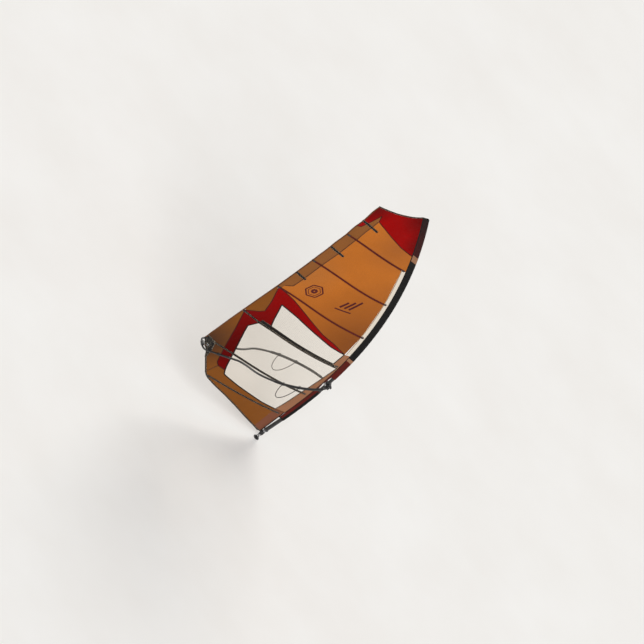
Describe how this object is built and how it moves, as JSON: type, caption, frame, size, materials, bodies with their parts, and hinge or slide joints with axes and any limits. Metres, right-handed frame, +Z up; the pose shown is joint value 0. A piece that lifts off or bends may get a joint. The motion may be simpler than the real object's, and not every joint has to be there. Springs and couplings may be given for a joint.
{
  "type": "windsurf sail rig",
  "caption": "Windsurf rig: curved two-part mast in a luff sleeve, battened panel sail with clear windows, wishbone boom, downhaul tackle and jointed mast foot.",
  "frame": {"origin": "middle of the deck plate's underside, where the mast foot stands on a board", "axes": "+X forward to the luff, +Y to port (windward, the hollow side of the sail), +Z up along the mast foot"},
  "size_m": [2.0401, 0.5448, 4.5968],
  "materials": {
    "body_cloth": "translucent orange sailcloth",
    "brown_cloth": "translucent brown sailcloth",
    "band_cloth": "double sailcloth along the leech",
    "red_cloth": "translucent red sailcloth",
    "pale_cloth": "pale laminate",
    "black_cloth": "black sleeve cloth",
    "maroon_cloth": "red-brown sleeve cloth",
    "window_film": "clear monofilm",
    "batten_rod": "wound glass fibre",
    "carbon": "satin carbon laminate",
    "alloy": "anodised",
    "steel": "brushed stainless",
    "moulded": "glass-filled nylon",
    "foam": "ribbed EVA foam",
    "cord": "braided line",
    "strap": "woven webbing"
  },
  "bodies": {
    "rig": {"head_panel": "red_cloth", "zigzag_panel": "red_cloth", "head_sleeve": "red_cloth", "body_panel_1": "body_cloth", "body_panel_2": "body_cloth", "body_panel_3": "body_cloth", "body_panel_4": "body_cloth", "leech_band": "band_cloth", "leech_panel": "brown_cloth", "clew_panel": "brown_cloth", "foot_panel": "brown_cloth", "upper_window": "window_film", "lower_window": "window_film", "luff_film": "window_film", "luff_strip": "pale_cloth", "tack_panel": "pale_cloth", "clew_patch": "black_cloth", "upper_sleeve": "black_cloth", "middle_sleeve": "maroon_cloth", "lower_sleeve": "maroon_cloth", "batten_1": "batten_rod", "batten_2": "batten_rod", "batten_3": "batten_rod", "batten_4": "batten_rod", "batten_5": "batten_rod", "batten_6": "batten_rod", "short_batten_1": "batten_rod", "short_batten_2": "batten_rod", "short_batten_3": "batten_rod", "mast_bottom": "carbon", "mast_top": "carbon", "mast_ferrule": "carbon", "mast_tip": "moulded", "extension_collar": "moulded", "extension_cup": "moulded", "extension_tube": "alloy", "clew_ring": "steel", "tack_block": "steel", "downhaul_line": "cord", "tack_webbing": "strap"},
    "boom": {"boom_head": "moulded", "clamp_band": "steel", "boom_arm_starboard": "carbon", "boom_arm_port": "carbon", "boom_grip_starboard": "foam", "boom_grip_port": "foam"},
    "clamp": {"clamp_lever": "moulded"},
    "tail": {"boom_tail": "moulded", "outhaul_line": "cord"},
    "tail_wheel": {"tail_sheave": "alloy"},
    "harness_starboard": {"harness_line_starboard": "moulded"},
    "harness_port": {"harness_line_port": "moulded"},
    "cup_wheel_inner": {"cup_sheave_inner": "alloy"},
    "cup_wheel_outer": {"cup_sheave_outer": "alloy"},
    "tack_wheel_inner": {"tack_sheave_inner": "alloy"},
    "tack_wheel_outer": {"tack_sheave_outer": "alloy"},
    "foot_swivel": {"swivel_yoke": "moulded"},
    "foot_link": {"cross_link": "steel"},
    "deck_foot": {"deck_yoke": "moulded", "deck_plate": "moulded"}
  },
  "joints": [
    {"name": "boom_height", "type": "hinge", "parent": "rig", "child": "boom", "pos_m": [-1.762, 0, 1.088], "axis": [0, -1, 0], "range_deg": [-1.2, 1.2]},
    {"name": "clamp_lever_swing", "type": "hinge", "parent": "boom", "child": "clamp", "pos_m": [0.14364, 0.03, 1.34666], "axis": [-0.0269, 0, 0.9996], "range_deg": [0, 100]},
    {"name": "tail_slide", "type": "slide", "parent": "boom", "child": "tail", "axis": [-0.9904, 0, -0.138], "range_m": [0, 0.12], "deforming": ["outhaul_line"]},
    {"name": "tail_wheel_spin", "type": "hinge", "parent": "tail", "child": "tail_wheel", "pos_m": [-1.83258, 0.024, 1.07816], "axis": [0, 1, 0], "continuous": true},
    {"name": "harness_swing_starboard", "type": "hinge", "parent": "boom", "child": "harness_starboard", "pos_m": [-0.37445, -0.22439, 1.28139], "axis": [0.9839, 0.1149, 0.1371], "range_deg": [-75, 25]},
    {"name": "harness_swing_port", "type": "hinge", "parent": "boom", "child": "harness_port", "pos_m": [-0.37445, 0.22439, 1.28139], "axis": [0.9839, -0.1149, 0.1371], "range_deg": [-75, 75]},
    {"name": "cup_wheel_inner_spin", "type": "hinge", "parent": "rig", "child": "cup_wheel_inner", "pos_m": [-0.052, 0.021, 0.14], "axis": [0, 1, 0], "continuous": true},
    {"name": "cup_wheel_outer_spin", "type": "hinge", "parent": "rig", "child": "cup_wheel_outer", "pos_m": [-0.052, 0.031, 0.14], "axis": [0, 1, 0], "continuous": true},
    {"name": "tack_wheel_inner_spin", "type": "hinge", "parent": "rig", "child": "tack_wheel_inner", "pos_m": [-0.052, 0.021, 0.262], "axis": [0, 1, 0], "continuous": true},
    {"name": "tack_wheel_outer_spin", "type": "hinge", "parent": "rig", "child": "tack_wheel_outer", "pos_m": [-0.052, 0.031, 0.262], "axis": [0, 1, 0], "continuous": true},
    {"name": "foot_swivel_turn", "type": "hinge", "parent": "rig", "child": "foot_swivel", "pos_m": [0, 0, 0.1], "axis": [0, 0, 1], "continuous": true},
    {"name": "foot_roll", "type": "hinge", "parent": "foot_swivel", "child": "foot_link", "pos_m": [0, 0, 0.07], "axis": [1, 0, 0], "range_deg": [-90, 90]},
    {"name": "foot_pitch", "type": "hinge", "parent": "foot_link", "child": "deck_foot", "pos_m": [0, 0, 0.042], "axis": [0, 1, 0], "range_deg": [-90, 90]}
  ]
}
